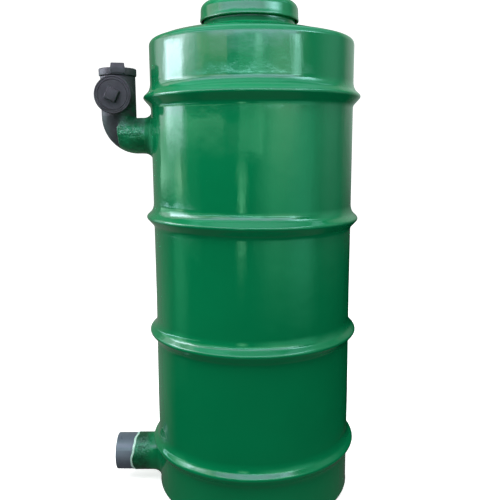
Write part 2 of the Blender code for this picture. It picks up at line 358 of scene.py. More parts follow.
# ----------------------------------------------------------------------- lid
lid_out = [(0.0, LID_Z1 - 0.0002), (0.05, LID_Z1 - 0.0003), (0.085, LID_Z1 - 0.0005)]
lid_out += arc(LID_TOP_R - LID_EDGE - 0.0004, LID_Z1 - LID_EDGE - 0.0006, LID_EDGE, 86, 2, 14)
lid_out += [(LID_TOP_R - 0.0002, 1.3840), (LID_TOP_R + 0.0001, 1.3760)]
lid_out += [(LID_R - 0.0006, 1.3680), (LID_R, LID_Z0 + 0.0042)]
lid_out += arc(LID_R - 0.0022, LID_Z0 + 0.0022, 0.0022, 0, -90, 5)
lid_in = arc(LID_R - LID_T + 0.0012, LID_Z0 + 0.0012, 0.0012, -90, -180, 3)
lid_in += [(LID_R - LID_T, 1.370), (LID_TOP_R - LID_T, 1.385)]
lid_in += arc(LID_TOP_R - LID_EDGE, LID_Z1 - LID_EDGE, LID_EDGE - LID_T, 0, 90, 8)
lid_in += [(0.08, LID_Z1 - LID_T), (0.0, LID_Z1 - LID_T)]
lid_v, lid_f = lathe(lid_out + lid_in, 160)
turn = np.arctan2(lid_v[:, 1], lid_v[:, 0])
lid_v[:, 0] += NECK_X
lid = add_mesh("lid_skin", lid_v, lid_f)
outward(lid)


# ------------------------------------------------------------- pipe coatings
def flare(phi, pipe_r, z_axis, spread, reach, steps):
    """Rings from the wall up onto a pipe: a hand-worked resin fillet."""
    rows = []
    for i in range(steps + 1):
        u = i / steps * math.pi / 2
        rho = pipe_r + spread * (1 - math.sin(u))
        y = rho * np.cos(phi)
        z = z_axis + rho * np.sin(phi)
        off = reach * (1 - math.cos(u)) - 0.0006 * (i == 0)
        rows.append(np.stack([wall_x(y, z) - off, y, z], 1))
    return rows


COLS = 144
phi = np.arange(COLS) * (2 * math.pi / COLS)

# inlet: resin fillet, level run, quarter bend up to the riser, and its bore
facing = np.maximum(-np.cos(phi), 0.0) ** 2
spread = 0.0200 + 0.0016 * ripple(phi, 11) - 0.0070 * facing
reach = 0.0235 + 0.0018 * ripple(phi, 12) - 0.0120 * facing
rows = flare(phi, COAT_R - 0.0002, INLET_Z, spread, reach, 14)
start = rows[-1][:, 0]
end = RISER_X + BEND_R
for i in range(1, 7):
    t = i / 6
    r = COAT_R - 0.0002 - 0.0003 * t + 0.0003 * t * ripple(phi + 3 * t, 13)
    x = start + (end - start) * t
    rows.append(np.stack([x, r * np.cos(phi), INLET_Z + r * np.sin(phi)], 1))


def bend_ring(angle, r):
    n = np.array([-math.sin(angle), 0.0, -math.cos(angle)])
    c = np.array([RISER_X + BEND_R, 0.0, INLET_Z + BEND_R])
    across = (BEND_R - r * np.sin(phi))
    p = c[None] + n[None] * across[:, None]
    p[:, 1] = r * np.cos(phi)
    return p


for i in range(1, 31):
    t = i / 30
    brushed = 0.0003 * (1 - eased(np.array((t - 0.3) / 0.3)))
    r = ELBOW_R - 0.0018 * eased(np.array(t)) + brushed * ripple(phi + 3 + 3 * t, 13)
    rows.append(bend_ring(t * math.pi / 2, r))
# the elbow's end goes up into the riser's socket
rows.append(rows[-1] + np.array([0, 0, 0.0070]))
rows.append(bend_ring(math.pi / 2, FIT_BORE + 0.0010 + 0.0 * phi) + np.array([0, 0, 0.0070]))
rows.append(bend_ring(math.pi / 2, FIT_BORE + 0.0 * phi) + np.array([0, 0, 0.0060]))
for i in range(30, -1, -2):
    rows.append(bend_ring(i / 30 * math.pi / 2, FIT_BORE + 0.0 * phi))
for x in (-0.31, -0.285, INSIDE_END):
    rows.append(np.stack([0 * phi + x, FIT_BORE * np.cos(phi),
                          INLET_Z + FIT_BORE * np.sin(phi)], 1))
rows.append(np.stack([0 * phi + INSIDE_END, 0.0505 * np.cos(phi),
                      INLET_Z + 0.0505 * np.sin(phi)], 1))
inlet = loft("inlet_bend_skin", np.stack(rows))

# outlet: grey pipe, its coat with a wandering edge, and the pale bead
pipe_rows = []
ends = [(OUTLET_END + 0.0006, OUTLET_BORE), (OUTLET_END, OUTLET_BORE + 0.0009),
        (OUTLET_END, OUTLET_R - 0.0010), (OUTLET_END + 0.0007, OUTLET_R - 0.0002),
        (OUTLET_END + 0.0020, OUTLET_R), (-0.400, OUTLET_R), (-0.380, OUTLET_R),
        (-0.340, OUTLET_R), (-0.300, OUTLET_R), (INSIDE_END, OUTLET_R),
        (INSIDE_END, OUTLET_BORE), (-0.30, OUTLET_BORE), (-0.35, OUTLET_BORE),
        (-0.40, OUTLET_BORE)]
for x, r in ends:
    pipe_rows.append(np.stack([0 * phi + x, r * np.cos(phi),
                               OUTLET_Z + r * np.sin(phi)], 1))
outlet = loft("outlet_pipe_skin", np.stack(pipe_rows))
smooth_by_angle(outlet, 50)

around = (0, 45, 90, 135, 180, 200, 225, 270, 315, 360)
painted_to = (-0.3655, -0.3600, -0.3565, -0.3630, -0.3695, -0.3710, -0.3660, -0.3590,
              -0.3620, -0.3655)
edge_x = np.interp(np.degrees(phi), around, painted_to)
edge_x = (np.roll(edge_x, 3) + np.roll(edge_x, -3) + edge_x) / 3
edge_x += 0.0010 * np.sin(5 * phi + 1.0) + 0.0007 * np.sin(11 * phi + 2.0)
below = np.maximum(-np.sin(phi), 0.0) ** 2
spread = 0.0130 + 0.0012 * ripple(phi, 21) + 0.0016 * below
reach = 0.0125 + 0.0025 * ripple(phi, 22) + 0.0165 * below
rows = flare(phi, 0.0566, OUTLET_Z, spread, reach, 12)
start = rows[-1][:, 0]
for i in range(1, 15):
    t = i / 14
    r = 0.0566 + 0.00045 * ripple(phi + 2.3 * t, 30 + i, n=8, low=3, high=14)
    x = start + (edge_x + 0.0020 - start) * t
    rows.append(np.stack([x, r * np.cos(phi), OUTLET_Z + r * np.sin(phi)], 1))
for dx, r in ((0.0004, 0.0563), (-0.0006, 0.0556), (-0.0008, 0.0546)):
    rows.append(np.stack([edge_x + dx, r * np.cos(phi),
                          OUTLET_Z + r * np.sin(phi)], 1))
rows.append(np.stack([0 * phi - 0.300, 0.0543 * np.cos(phi),
                      OUTLET_Z + 0.0543 * np.sin(phi)], 1))
rows.append(np.stack([0 * phi - 0.270, 0.0543 * np.cos(phi),
                      OUTLET_Z + 0.0543 * np.sin(phi)], 1))
coat = loft("outlet_coat_skin", np.stack(rows))

fat = 0.0036 + 0.0011 * ripple(phi, 41, n=8, low=2, high=11)
fat = np.maximum(fat, 0.0020)
bead_rows = []
for k in range(12):
    a = k / 12 * 2 * math.pi
    r = 0.0552 + 0.45 * fat * math.sin(a)
    x = edge_x - 0.0006 + 1.15 * fat * math.cos(a)
    bead_rows.append(np.stack([x, r * np.cos(phi), OUTLET_Z + r * np.sin(phi)], 1))
bead = loft("outlet_bead_skin", np.stack(bead_rows))


# -------------------------------------------------------- riser with its port
def tube(name, r_out, r_in, z_a, z_b, cols=96):
    prof = [(r_out, z_a), (r_out, z_b), (r_in, z_b), (r_in, z_a), (r_out, z_a)]
    verts, faces = lathe(prof[:-1], cols)
    n = len(prof) - 1
    faces += [((n - 1) * cols + j, j, (j + 1) % cols, (n - 1) * cols + (j + 1) % cols)
              for j in range(cols)]
    obj = add_mesh(name, verts, faces)
    outward(obj)
    return obj


def solid(name, r, z_a, z_b, cols=96):
    verts, faces = lathe([(0.0, z_a), (r, z_a), (r, z_b), (0.0, z_b)], cols)
    obj = add_mesh(name, verts, faces)
    outward(obj)
    return obj


def boolean(obj, other, operation):
    cut = obj.modifiers.new(operation.lower(), "BOOLEAN")
    cut.object = other
    cut.operation = operation
    cut.solver = "EXACT"
    evaluated(obj)
    bpy.data.objects.remove(other)
    return obj


def upright(obj, turn):
    """Stands a turned piece on the riser's axis, its facets turned a little."""
    obj.data.transform(Matrix.Translation((RISER_X, 0, 0))
                       @ Matrix.Rotation(math.radians(turn), 4, "Z"))
    return obj


def towards_front(obj, turn):
    """Lays a turned piece on the side port's axis."""
    obj.data.transform(Matrix.Translation((RISER_X, 0, PORT_Z))
                       @ Matrix.Rotation(math.radians(90), 4, "X")
                       @ Matrix.Rotation(math.radians(turn), 4, "Z"))
    return obj


riser = upright(solid("riser_skin", FIT_R, RISER_Z0 + 0.0003, RISER_Z1 - 0.0003), 0.0)
boolean(riser, towards_front(solid("port", FIT_R - 0.00007, 0.0070, -PORT_Y, 92), 1.1), "UNION")
boolean(riser, upright(solid("bore", FIT_BORE, RISER_Z0 - 0.02, RISER_Z1 + 0.02, 88), 0.7),
        "DIFFERENCE")
boolean(riser, towards_front(solid("bore", FIT_BORE - 0.00011, 0.0115, 0.08, 84), 2.3),
        "DIFFERENCE")
grain = riser.modifiers.new("grain", "REMESH")
grain.mode = "VOXEL"
grain.voxel_size = 0.0013
soft = riser.modifiers.new("soft", "SMOOTH")
soft.iterations = 5
soft.factor = 0.5
evaluated(riser)
riser.data.shade_smooth()


# --------------------------------------------------------------------- plugs
def rounded_prism(name, outline, low_width, high_width, bevel):
    """A (y, z) outline drawn out along X, with rounded edges."""
    mesh = bpy.data.meshes.new(name)
    shape = bmesh.new()
    high = max(z for _, z in outline)
    verts = [shape.verts.new((-0.5, y, z)) for y, z in outline]
    face = shape.faces.new(verts)
    grown = bmesh.ops.extrude_face_region(shape, geom=[face])["geom"]
    bmesh.ops.translate(shape, vec=(1.0, 0.0, 0.0), verts=[
        g for g in grown if isinstance(g, bmesh.types.BMVert)])
    for v in shape.verts:
        v.co.x *= high_width if abs(v.co.z - high) < 1e-6 else low_width
    bmesh.ops.recalc_face_normals(shape, faces=shape.faces[:])
    bmesh.ops.bevel(shape, geom=shape.edges[:], offset=bevel, segments=4,
                    profile=0.5, affect="EDGES")
    shape.to_mesh(mesh)
    shape.free()
    obj = bpy.data.objects.new(name, mesh)
    bpy.context.scene.collection.objects.link(obj)
    mesh.shade_smooth()
    return obj


def plug_disc(name, radius, grooves, thread):
    """The turned part of a plug, standing on z = 0 with its spigot below."""
    top = PLUG_FLANGE
    prof = [(0.0, top - 0.0010), (0.020, top - 0.0010)]
    for g, width, deep in grooves:
        prof += [(g - width, top - 0.0008), (g - width * 0.5, top - 0.0008 - deep),
                 (g + width * 0.5, top - 0.0008 - deep), (g + width, top - 0.0004)]
    prof += arc(radius - 0.0030, top - 0.0030, 0.0030, 90, 0, 7)
    prof += [(radius - 0.0001, top * 0.55)]
    prof += arc(radius - 0.0022, 0.0022, 0.0020, 0, -90, 4)
    prof += [(0.0440, 0.0002), (0.0418, -0.0002)]
    z = -0.0004
    for _ in range(thread):
        prof += [(0.0418, z), (0.0424, z - 0.0006), (0.0418, z - 0.0012)]
        z -= 0.0014
    prof += [(0.0415, -0.0050), (0.0408, -0.0055), (0.0372, -0.0055),
             (0.0370, -0.0050), (0.0370, top - 0.007), (0.0, top - 0.007)]
    verts, faces = lathe(prof, 128)
    obj = add_mesh(name, verts, faces)
    outward(obj)
    smooth_by_angle(obj, 48)
    return obj


def bar_end(name, side):
    """A raised end of the top plug's bar, lapping down over the rim."""
    a, b = BAR_STEP, BAR_REACH
    high = PLUG_FLANGE + BAR_END_OUT
    outline = [(side * a, PLUG_FLANGE - 0.004), (side * (TOP_PLUG_R - 0.006), PLUG_FLANGE - 0.004),
               (side * (TOP_PLUG_R - 0.006), 0.004), (side * b, 0.004),
               (side * b, PLUG_FLANGE - 0.001), (side * (b - 0.0016), high),
               (side * (a + 0.0022), high)]
    return rounded_prism(name, outline, BAR, BAR - 0.005, 0.0015)


low_bar = rounded_prism("low_bar", [(-BAR_STEP - 0.004, PLUG_FLANGE - 0.004),
                                    (BAR_STEP + 0.004, PLUG_FLANGE - 0.004),
                                    (BAR_STEP + 0.004, PLUG_FLANGE + BAR_OUT),
                                    (-BAR_STEP - 0.004, PLUG_FLANGE + BAR_OUT)],
                        BAR - 0.004, BAR - 0.006, 0.0012)
disc = plug_disc("disc", TOP_PLUG_R, ((0.0425, 0.0014, 0.0010),), 3)
bar = [low_bar, bar_end("front", -1), bar_end("back", 1)]
for piece in bar:
    piece.matrix_world = Matrix.Rotation(math.radians(BAR_TURN), 4, "Z")
top_plug = join("top_plug_skin", [disc, *bar])
smooth_by_angle(top_plug, 48)
top_plug.data.transform(Matrix.Translation((RISER_X, 0.0, RISER_Z1)))

crest = PLUG_FLANGE + LUG_OUT
lug = rounded_prism("lug", [(-LUG / 2, PLUG_FLANGE - 0.005), (LUG / 2, PLUG_FLANGE - 0.005),
                            (LUG * 0.47, crest), (-LUG * 0.47, crest)],
                    LUG, LUG * 0.94, 0.0018)
lug.matrix_world = Matrix.Rotation(math.radians(LUG_TURN), 4, "Z")
disc = plug_disc("disc", SIDE_PLUG_R, ((0.0405, 0.0013, 0.0012), (0.0465, 0.0008, 0.0006)), 3)
side_plug = join("side_plug_skin", [disc, lug])
smooth_by_angle(side_plug, 48)
side_plug.data.transform(Matrix.Translation((RISER_X, PORT_Y - 0.0003, PORT_Z))
                         @ Matrix.Rotation(math.radians(90), 4, "X"))


# ------------------------------------------------------------------ materials
class Nodes:
    """A small helper round one node tree."""

    def __init__(self, name, owner=None):
        self.mat = owner or bpy.data.materials.new(name)
        self.mat.use_nodes = True
        self.tree = self.mat.node_tree
        self.bsdf = self.tree.nodes.get("Principled BSDF")
        self.coord = self.tree.nodes.new("ShaderNodeTexCoord").outputs[
            "Generated" if owner else "Object"]

    def new(self, kind, **values):
        node = self.tree.nodes.new(kind)
        for key, value in values.items():
            setattr(node, key, value)
        return node

    def link(self, a, b):
        self.tree.links.new(a, b)

    def set(self, **values):
        for key, value in values.items():
            self.bsdf.inputs[key.replace("_", " ")].default_value = value

    def scaled(self, scale, offset=(0, 0, 0)):
        node = self.new("ShaderNodeMapping")
        node.inputs["Scale"].default_value = scale
        node.inputs["Location"].default_value = offset
        self.link(self.coord, node.inputs["Vector"])
        return node.outputs["Vector"]

    def noise(self, scale, detail=3.0, rough=0.5, vector=None, distortion=0.0):
        node = self.new("ShaderNodeTexNoise")
        node.inputs["Scale"].default_value = scale
        node.inputs["Detail"].default_value = detail
        node.inputs["Roughness"].default_value = rough
        node.inputs["Distortion"].default_value = distortion
        self.link(vector or self.coord, node.inputs["Vector"])
        return node.outputs["Fac"]

    def ramp(self, value, stops, ease="LINEAR"):
        """Maps a value through (position, output) stops, outputs as greys."""
        node = self.new("ShaderNodeMapRange")
        node.interpolation_type = "SMOOTHSTEP" if ease != "LINEAR" else "LINEAR"
        (a, b), (c, d) = stops
        node.inputs["From Min"].default_value = a
        node.inputs["From Max"].default_value = c
        node.inputs["To Min"].default_value = b
        node.inputs["To Max"].default_value = d
        self.link(value, node.inputs["Value"])
        return node.outputs["Result"]

    def math(self, operation, a, b=None):
        node = self.new("ShaderNodeMath", operation=operation)
        for socket, value in ((node.inputs[0], a), (node.inputs[1], b)):
            if value is None:
                continue
            if isinstance(value, (int, float)):
                socket.default_value = value
            else:
                self.link(value, socket)
        return node.outputs["Value"]

    def mix(self, fac, a, b):
        """Mixes two colours; each is a socket or an rgb triple."""
        node = self.new("ShaderNodeMix", data_type="RGBA")
        for socket, value in ((node.inputs["Factor"], fac), (node.inputs["A"], a),
                              (node.inputs["B"], b)):
            pass
        factor = node.inputs[0]
        a_in = [s for s in node.inputs if s.name == "A" and s.type == "RGBA"][0]
        b_in = [s for s in node.inputs if s.name == "B" and s.type == "RGBA"][0]
        out = [s for s in node.outputs if s.type == "RGBA"][0]
        if isinstance(fac, (int, float)):
            factor.default_value = fac
        else:
            self.link(fac, factor)
        for socket, value in ((a_in, a), (b_in, b)):
            if isinstance(value, tuple):
                socket.default_value = (*value, 1.0)
            else:
                self.link(value, socket)
        return out

    def axis(self, name):
        node = self.new("ShaderNodeSeparateXYZ")
        self.link(self.coord, node.inputs["Vector"])
        return node.outputs[name]

    def bump(self, height, distance, strength=1.0, normal=None):
        node = self.new("ShaderNodeBump")
        node.inputs["Distance"].default_value = distance
        node.inputs["Strength"].default_value = strength
        self.link(height, node.inputs["Height"])
        if normal is not None:
            self.link(normal, node.inputs["Normal"])
        return node.outputs["Normal"]

    def done(self, color=None, roughness=None, normal=None):
        if color is not None:
            self.link(color, self.bsdf.inputs["Base Color"])
        if roughness is not None:
            self.link(roughness, self.bsdf.inputs["Roughness"])
        if normal is not None:
            self.link(normal, self.bsdf.inputs["Normal"])
        return self.mat


GREEN_MID = (0.0012, 0.180, 0.065)
GREEN_DEEP = (0.0008, 0.162, 0.058)
GREEN_LIGHT = (0.0016, 0.198, 0.072)


def gelcoat():
    n = Nodes("gelcoat")
    cloud = n.ramp(n.noise(3.2, 3.0, 0.5), ((0.30, 0.25), (0.72, 0.75)), "S")
    color = n.mix(cloud, GREEN_DEEP, GREEN_LIGHT)
    fine = n.ramp(n.noise(42.0, 4.0, 0.6), ((0.35, 0.0), (0.70, 1.0)), "S")
    color = n.mix(n.math("MULTIPLY", fine, 0.25), color, GREEN_MID)
    # pin-prick specks in the gel-coat
    cell = n.new("ShaderNodeTexVoronoi")
    cell.inputs["Scale"].default_value = 130.0
    n.link(n.coord, cell.inputs["Vector"])
    speck = n.ramp(cell.outputs["Distance"], ((0.060, 1.0), (0.105, 0.0)), "S")
    some = n.ramp(n.noise(26.0, 1.0), ((0.60, 0.0), (0.66, 1.0)), "S")
    color = n.mix(n.math("MULTIPLY", n.math("MULTIPLY", speck, some), 0.45), color,
                  (0.03, 0.30, 0.16))
    rough = n.ramp(n.noise(9.0, 4.0, 0.6), ((0.30, 0.07), (0.75, 0.12)))
    wave = n.noise(7.5, 2.0, 0.5)
    drag = n.noise(1.0, 3.0, 0.55, n.scaled((22.0, 22.0, 5.0)))
    dimple = n.noise(21.0, 2.0, 0.5)
    peel = n.noise(210.0, 2.0, 0.5)
    normal = n.bump(wave, 0.0020)
    normal = n.bump(drag, 0.0009, normal=normal)
    normal = n.bump(dimple, 0.0005, normal=normal)
    normal = n.bump(peel, 0.00005, normal=normal)
    n.set(IOR=1.5)
    # the neck under the lid's overhang is painted darker, as shade, and made less glossy, but for
    # its right end
    x, y, z = n.axis("X"), n.axis("Y"), n.axis("Z")
    across = n.math("ADD", x, 0.006)
    reach = n.math("ADD", n.math("MULTIPLY", across, across), n.math("MULTIPLY", y, y))
    painted_shade_and_dull = n.math("MULTIPLY", n.ramp(z, ((1.3335, 0.0), (1.3380, 1.0)), "S"),
                  n.ramp(reach, ((0.01710, 1.0), (0.01770, 0.0)), "S"))
    painted_shade_and_dull = n.math("MULTIPLY", painted_shade_and_dull, n.ramp(z, ((1.3560, 1.0), (1.3640, 0.0)), "S"))
    painted_shade_and_dull = n.math("MULTIPLY", painted_shade_and_dull, n.ramp(x, ((0.030, 1.0), (0.060, 0.0)), "S"))
    # painted shade: the neck's colour darkened under the lid
    color = n.mix(n.math("MULTIPLY", painted_shade_and_dull, 0.70), color, (0.002, 0.085, 0.032))
    n.link(n.math("SUBTRACT", 0.5, n.math("MULTIPLY", painted_shade_and_dull, 0.38)),
           n.bsdf.inputs["Specular IOR Level"])
    return n.done(color, rough, normal)


def black_fitting(tone=1.0):
    n = Nodes("black_fitting")
    grey = n.ramp(n.noise(34.0, 4.0, 0.6), ((0.3, 0.0), (0.75, 1.0)), "S")
    color = n.mix(grey, tuple(tone * c for c in (0.036, 0.036, 0.042)),
                  tuple(tone * c for c in (0.054, 0.054, 0.062)))
    dust = n.ramp(n.noise(12.0, 5.0, 0.65), ((0.52, 0.0), (0.78, 1.0)), "S")
    color = n.mix(n.math("MULTIPLY", dust, 0.30), color, (0.150, 0.150, 0.165))
    rough = n.ramp(n.noise(60.0, 4.0, 0.6), ((0.3, 0.46), (0.75, 0.64)))
    fine = n.noise(420.0, 3.0, 0.6)
    wave = n.noise(45.0, 2.0, 0.5)
    normal = n.bump(fine, 0.00012)
    normal = n.bump(wave, 0.00035, normal=normal)
    n.set(Specular_IOR_Level=0.36, Specular_Tint=(1.0, 0.70, 0.85, 1.0))
    return n, color, rough, normal


def plain_black(tone):
    n, color, rough, normal = black_fitting(tone)
    return n.done(color, rough, normal)


def painted_bend():
    """Black fitting whose lower run was brushed over in green."""
    n, black, rough_b, normal_b = black_fitting(0.86)
    x, z = n.axis("X"), n.axis("Z")
    ragged = n.ramp(n.noise(60.0, 4.0, 0.6), ((0.0, -0.006), (1.0, 0.006)))
    # the paint's edge: upright on the lower half, leaning towards the tank above
    lean = n.math("MULTIPLY", n.math("MAXIMUM", n.math("SUBTRACT", z, 1.074), 0.0), 0.50)
    edge = n.math("SUBTRACT", n.math("ADD", x, 0.3765), lean)
    edge = n.math("ADD", edge, ragged)
    # it fades out upwards, where only spray reached
    fade = n.ramp(z, ((1.078, 0.0012), (1.102, 0.0140)), "S")
    low = n.math("MULTIPLY", fade, -1.0)
    soft = n.new("ShaderNodeMapRange", interpolation_type="SMOOTHSTEP")
    n.link(edge, soft.inputs["Value"])
    n.link(low, soft.inputs["From Min"])
    n.link(fade, soft.inputs["From Max"])
    painted = soft.outputs["Result"]
    mottle = n.ramp(n.noise(24.0, 5.0, 0.65), ((0.3, 0.0), (0.72, 1.0)), "S")
    green = n.mix(mottle, (0.0016, 0.105, 0.038), (0.0060, 0.185, 0.075))
    # a pale band along the front is a painted highlight; the top is painted darker, as shade, and
    # made rougher
    painted_highlight_band = n.math("MULTIPLY", n.ramp(z, ((1.052, 0.0), (1.062, 1.0)), "S"),
                 n.ramp(z, ((1.073, 1.0), (1.081, 0.0)), "S"))
    patchy = n.ramp(n.noise(70.0, 3.0, 0.6), ((0.36, 0.25), (0.62, 1.0)), "S")
    away = n.ramp(x, ((-0.296, 0.0), (-0.318, 1.0)), "S")
    painted_highlight_band = n.math("MULTIPLY", n.math("MULTIPLY", painted_highlight_band, patchy), away)
    green = n.mix(n.math("MULTIPLY", painted_highlight_band, 0.80), green, (0.050, 0.330, 0.185))
    # painted shade: the top of the painted run darker, and rougher
    painted_shade_top = n.math("MULTIPLY", n.ramp(z, ((1.076, 0.0), (1.090, 1.0)), "S"), away)
    green = n.mix(n.math("MULTIPLY", painted_shade_top, 0.72), green, (0.0022, 0.040, 0.017))
    color = n.mix(painted, black, green)
    rough_g = n.ramp(n.noise(30.0, 4.0, 0.6), ((0.3, 0.12), (0.75, 0.30)))
    rough_g = n.math("ADD", rough_g, n.math("MULTIPLY", painted_shade_top, 0.30))
    fillet = n.ramp(x, ((-0.306, 0.0), (-0.296, 1.0)), "S")
    rough_g = n.math("ADD", rough_g, n.math("MULTIPLY", fillet, 0.30))
    rough = n.new("ShaderNodeMix")
    n.link(painted, rough.inputs[0])
    n.link(rough_b, rough.inputs[2])
    n.link(rough_g, rough.inputs[3])
    gloss = n.ramp(painted, ((0.0, 0.14), (1.0, 0.55)))
    gloss = n.math("SUBTRACT", gloss, n.math("MULTIPLY", fillet, 0.35))
    n.link(gloss, n.bsdf.inputs["Specular IOR Level"])
    brush = n.noise(1.0, 4.0, 0.6, n.scaled((70.0, 160.0, 160.0)))
    lumps = n.noise(105.0, 3.0, 0.60)
    worked = n.math("MULTIPLY", painted, away)
    lumpy = n.math("MULTIPLY", worked, n.math("ADD", n.math("MULTIPLY", painted_highlight_band, 0.75), 0.25))
    normal = n.bump(n.math("MULTIPLY", brush, worked), 0.0012, normal=normal_b)
    normal = n.bump(n.math("MULTIPLY", lumps, lumpy), 0.0075, normal=normal)
    normal = n.bump(painted, 0.0004, normal=normal)
    n.set(Specular_Tint=(1.0, 1.0, 1.0, 1.0))
    return n.done(color, rough.outputs[0], normal)


def overspray_riser():
    """Black riser with a green mist on its tank side and foot."""
    n, black, rough, normal = black_fitting()
    x, z = n.axis("X"), n.axis("Z")
    side = n.ramp(x, ((-0.385, 0.0), (-0.334, 1.0)), "S")
    low = n.ramp(z, ((1.200, 0.0), (1.105, 1.0)), "S")
    mist = n.ramp(n.noise(38.0, 5.0, 0.7), ((0.34, 0.0), (0.66, 1.0)), "S")
    amount = n.math("MULTIPLY", n.math("MULTIPLY", side, low), mist)
    color = n.mix(n.math("MULTIPLY", amount, 0.85), black, (0.004, 0.105, 0.045))
    return n.done(color, rough, normal)


def brushed_coat():
    """Green resin brushed thickly over the outlet pipe."""
    n = Nodes("brushed_coat")
    x, z = n.axis("X"), n.axis("Z")
    mottle = n.ramp(n.noise(34.0, 5.0, 0.65), ((0.3, 0.0), (0.72, 1.0)), "S")
    color = n.mix(mottle, (0.0022, 0.058, 0.024), (0.0060, 0.125, 0.048))
    streak = n.noise(1.0, 4.0, 0.65, n.scaled((60.0, 22.0, 220.0)))
    thick = n.ramp(streak, ((0.50, 0.0), (0.70, 1.0)), "S")
    # a paler band along the front, a painted highlight
    painted_highlight_band = n.math("MULTIPLY", n.ramp(z, ((0.092, 0.0), (0.108, 1.0)), "S"),
                 n.ramp(z, ((0.122, 1.0), (0.134, 0.0)), "S"))
    patchy = n.math("MAXIMUM", thick, n.ramp(n.noise(90.0, 3.0, 0.6),
                                             ((0.42, 0.20), (0.62, 1.0)), "S"))
    color = n.mix(n.math("MULTIPLY", n.math("MULTIPLY", painted_highlight_band, patchy), 0.62), color,
                  (0.045, 0.290, 0.165))
    color = n.mix(n.math("MULTIPLY", thick, 0.22), color, (0.016, 0.190, 0.090))
    joined = n.ramp(x, ((-0.334, 0.0), (-0.306, 1.0)), "S")
    color = n.mix(joined, color, GREEN_MID)
    rough = n.ramp(n.noise(40.0, 4.0, 0.6), ((0.3, 0.10), (0.75, 0.26)))
    away = n.ramp(x, ((-0.304, 0.0), (-0.328, 1.0)), "S")
    normal = n.bump(n.math("MULTIPLY", streak, away), 0.0014)
    lumps = n.math("MULTIPLY", n.noise(150.0, 4.0, 0.65), away)
    normal = n.bump(lumps, 0.0030, normal=normal)
    return n.done(color, rough, normal)


def grey_pipe():
    n = Nodes("grey_pipe")
    cloud = n.ramp(n.noise(18.0, 5.0, 0.6), ((0.3, 0.0), (0.72, 1.0)), "S")
    color = n.mix(cloud, (0.120, 0.150, 0.195), (0.165, 0.200, 0.250))
    line = n.noise(1.0, 3.0, 0.6, n.scaled((4.0, 260.0, 260.0)))
    color = n.mix(n.ramp(line, ((0.52, 0.0), (0.70, 0.28))), color, (0.24, 0.27, 0.32))
    scuff = n.ramp(n.noise(95.0, 5.0, 0.7), ((0.62, 0.0), (0.76, 1.0)), "S")
    color = n.mix(n.math("MULTIPLY", scuff, 0.30), color, (0.33, 0.37, 0.41))
    # painted shade: the top and underside darker, the side left at the plain grey
    z = n.axis("Z")
    above = n.ramp(z, ((0.112, 0.0), (0.134, 1.0)), "S")
    below = n.ramp(z, ((0.108, 0.0), (0.066, 1.0)), "S")
    pipe_painted_shade = n.math("MAXIMUM", n.math("MULTIPLY", above, 0.55), n.math("MULTIPLY", below, 0.50))
    color = n.mix(pipe_painted_shade, color, (0.040, 0.052, 0.066))
    rough = n.ramp(n.noise(50.0, 4.0, 0.6), ((0.3, 0.26), (0.75, 0.44)))
    normal = n.bump(line, 0.00012)
    normal = n.bump(n.noise(30.0, 2.0), 0.0004, normal=normal)
    return n.done(color, rough, normal)


def pale_bead():
    n = Nodes("pale_bead")
    mottle = n.ramp(n.noise(120.0, 4.0, 0.6), ((0.3, 0.0), (0.75, 1.0)), "S")
    color = n.mix(mottle, (0.36, 0.62, 0.52), (0.62, 0.82, 0.74))
    rough = n.ramp(n.noise(90.0, 2.0), ((0.3, 0.22), (0.7, 0.42)))
    normal = n.bump(n.noise(160.0, 3.0), 0.0005)
    return n.done(color, rough, normal)


GELCOAT = gelcoat()
for obj, mat in ((tank, GELCOAT), (lid, GELCOAT), (inlet, painted_bend()),
                 (riser, overspray_riser()), (top_plug, plain_black(1.1)),
                 (side_plug, plain_black(0.74)), (outlet, grey_pipe()),
                 (coat, brushed_coat()), (bead, pale_bead())):
    obj.data.materials.clear()
    obj.data.materials.append(mat)

# ------------------------------------------------------------ bodies, over their hidden CAD parts
halves = ("left", "right")
shell_nodes = ["base", "top_cover", "manhole_neck"]
shell_nodes += [f"foot_course_{s}" for s in halves]
shell_nodes += [f"wall_course_{k}_{s}" for k in (1, 2, 3, 4) for s in halves]
shell_nodes += [f"rib_{k}_{s}" for k in (2, 3, 4) for s in halves]
for obj, body, slot, nodes in (
        (tank, "tank", "green_gelcoat", shell_nodes),
        (lid, "lid", "green_gelcoat", ["lid"]),
        (inlet, "tank", "green_gelcoat", ["inlet_pipe", "inlet_collar", "inlet_elbow"]),
        (riser, "tank", "black_plastic", ["riser_tee"]),
        (top_plug, "top_plug", "black_plastic", ["top_plug"]),
        (side_plug, "side_plug", "black_plastic", ["side_plug"]),
        (outlet, "tank", "grey_pipe", ["outlet_pipe"]),
        (coat, "tank", "green_gelcoat", ["outlet_collar", "outlet_sleeve"]),
        (bead, "tank", "pale_resin", ["outlet_bead"])):
    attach(obj, body)
    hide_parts(*nodes)

# ----------------------------------------------------------------------- stage
pale = Nodes("stage_pale")
tone = pale.ramp(pale.noise(1.5, 2.0), ((0.3, 0.88), (0.7, 0.90)))
grey_out = pale.new("ShaderNodeCombineColor")
for socket in grey_out.inputs[:3]:
    pale.link(tone, socket)
pale.set(Roughness=0.7, Emission_Color=(1.0, 1.0, 1.0, 1.0), Emission_Strength=0.70)
pale.done(grey_out.outputs[0])

# a round floor that rises into a wall on every side
path = [(0.0, 0.0), (1.0, 0.0), (5.2, 0.0)]
path += [(5.2 + 1.6 * math.sin(a), 1.6 * (1 - math.cos(a)))
         for a in (i / 14 * math.pi / 2 for i in range(1, 15))]
path.append((6.8, 9.0))
sweep_v, sweep_f = lathe(path, 96)
stage = add_mesh("studio_floor", sweep_v, sweep_f)
stage.data.materials.append(pale.mat)
stage.visible_glossy = False
stage.visible_diffuse = False

